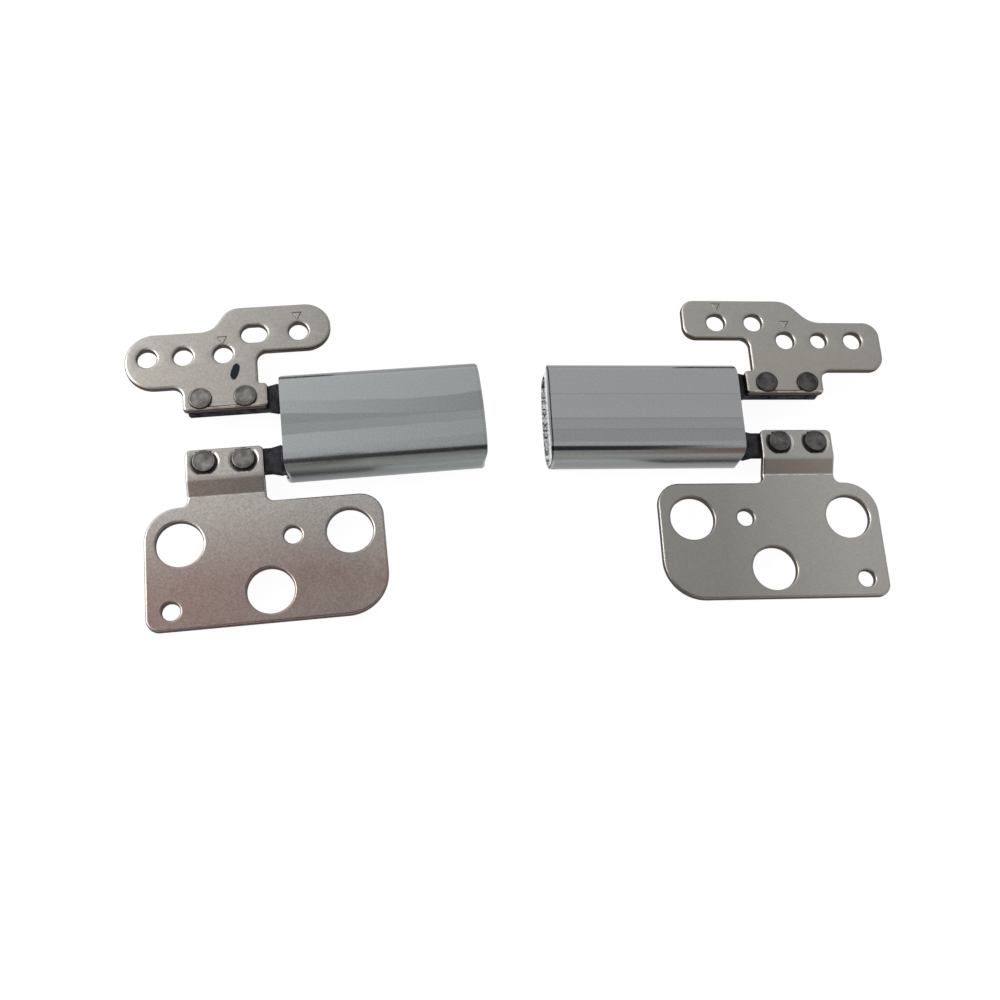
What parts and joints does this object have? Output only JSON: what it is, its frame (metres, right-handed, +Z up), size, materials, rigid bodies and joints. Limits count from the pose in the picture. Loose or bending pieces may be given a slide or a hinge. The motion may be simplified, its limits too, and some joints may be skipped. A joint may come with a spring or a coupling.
{
  "type": "laptop hinge pair",
  "caption": "Left and right laptop hinges lying open flat: geared shafts in a plated cover, with a stamped lid bracket and a stepped base bracket, so the lid can turn right round.",
  "frame": {"origin": "On the surface under the covers, at the middle of the pair's box.", "axes": "X runs along the right hinge's shafts, Y points from the base brackets to the lid brackets, and Z is up."},
  "size_m": [0.1104, 0.049, 0.0064],
  "materials": {
    "cover_plating": "satin bright plating on drawn steel",
    "bracket_plating": "warm grey plating on stamped sheet, with rolled edges",
    "rivet_steel": "bare pressed steel",
    "shaft_steel": "blackened steel, lightly oiled",
    "gear_steel": "greased sintered steel",
    "spring_steel": "hardened spring steel"
  },
  "bodies": {
    "covers": {"left_cover": "cover_plating", "left_friction_clip": "spring_steel", "left_front_carrier": "gear_steel", "left_rear_carrier": "gear_steel", "right_cover": "cover_plating", "right_friction_clip": "spring_steel", "right_front_carrier": "gear_steel", "right_rear_carrier": "gear_steel"},
    "left_lid": {"left_lid_bracket": "bracket_plating", "left_lid_rivets": "rivet_steel", "left_lid_shaft": "shaft_steel", "left_lid_gear": "gear_steel", "left_lid_lock_nut": "gear_steel"},
    "left_lid_idler_gear": {"left_lid_idler": "gear_steel"},
    "left_base": {"left_base_bracket": "bracket_plating", "left_base_rivets": "rivet_steel", "left_base_shaft": "shaft_steel", "left_base_gear": "gear_steel", "left_base_lock_nut": "gear_steel"},
    "left_base_idler_gear": {"left_base_idler": "gear_steel"},
    "right_lid": {"right_lid_bracket": "bracket_plating", "right_lid_rivets": "rivet_steel", "right_lid_shaft": "shaft_steel", "right_lid_gear": "gear_steel", "right_lid_lock_nut": "gear_steel"},
    "right_lid_idler_gear": {"right_lid_idler": "gear_steel"},
    "right_base": {"right_base_bracket": "bracket_plating", "right_base_rivets": "rivet_steel", "right_base_shaft": "shaft_steel", "right_base_gear": "gear_steel", "right_base_lock_nut": "gear_steel"},
    "right_base_idler_gear": {"right_base_idler": "gear_steel"}
  },
  "joints": [
    {"name": "left_lid_turn", "type": "hinge", "parent": "covers", "child": "left_lid", "pos_m": [-0.03371, 0.00903, 0.0032], "axis": [0.9972, 0.075, 0], "range_deg": [-90, 90]},
    {"name": "left_lid_idler_turn", "type": "hinge", "parent": "covers", "child": "left_lid_idler_gear", "pos_m": [-0.01922, 0.00673, 0.0032], "axis": [0.9972, 0.075, 0], "range_deg": [-140, 140]},
    {"name": "left_base_turn", "type": "hinge", "parent": "covers", "child": "left_base", "pos_m": [-0.03301, -0.00035, 0.0032], "axis": [0.9972, 0.075, 0], "range_deg": [-90, 90]},
    {"name": "left_base_idler_turn", "type": "hinge", "parent": "covers", "child": "left_base_idler_gear", "pos_m": [-0.01902, 0.00409, 0.0032], "axis": [0.9972, 0.075, 0], "range_deg": [-140, 140]},
    {"name": "right_lid_turn", "type": "hinge", "parent": "covers", "child": "right_lid", "pos_m": [0.03204, 0.01084, 0.0032], "axis": [1, 0, 0], "range_deg": [-90, 90]},
    {"name": "right_lid_idler_turn", "type": "hinge", "parent": "covers", "child": "right_lid_idler_gear", "pos_m": [0.01776, 0.00746, 0.0032], "axis": [1, 0, 0], "range_deg": [-140, 140]},
    {"name": "right_base_turn", "type": "hinge", "parent": "covers", "child": "right_base", "pos_m": [0.03204, 0.00144, 0.0032], "axis": [1, 0, 0], "range_deg": [-90, 90]},
    {"name": "right_base_idler_turn", "type": "hinge", "parent": "covers", "child": "right_base_idler_gear", "pos_m": [0.01776, 0.00482, 0.0032], "axis": [1, 0, 0], "range_deg": [-140, 140]}
  ],
  "couplings": [
    {"joint": "left_base_idler_turn", "follows": "left_base_turn", "ratio": -1.5556},
    {"joint": "left_lid_idler_turn", "follows": "left_base_turn", "ratio": 1.5556},
    {"joint": "left_lid_turn", "follows": "left_base_turn", "ratio": -1},
    {"joint": "right_base_idler_turn", "follows": "right_base_turn", "ratio": -1.5556},
    {"joint": "right_lid_idler_turn", "follows": "right_base_turn", "ratio": 1.5556},
    {"joint": "right_lid_turn", "follows": "right_base_turn", "ratio": -1}
  ]
}
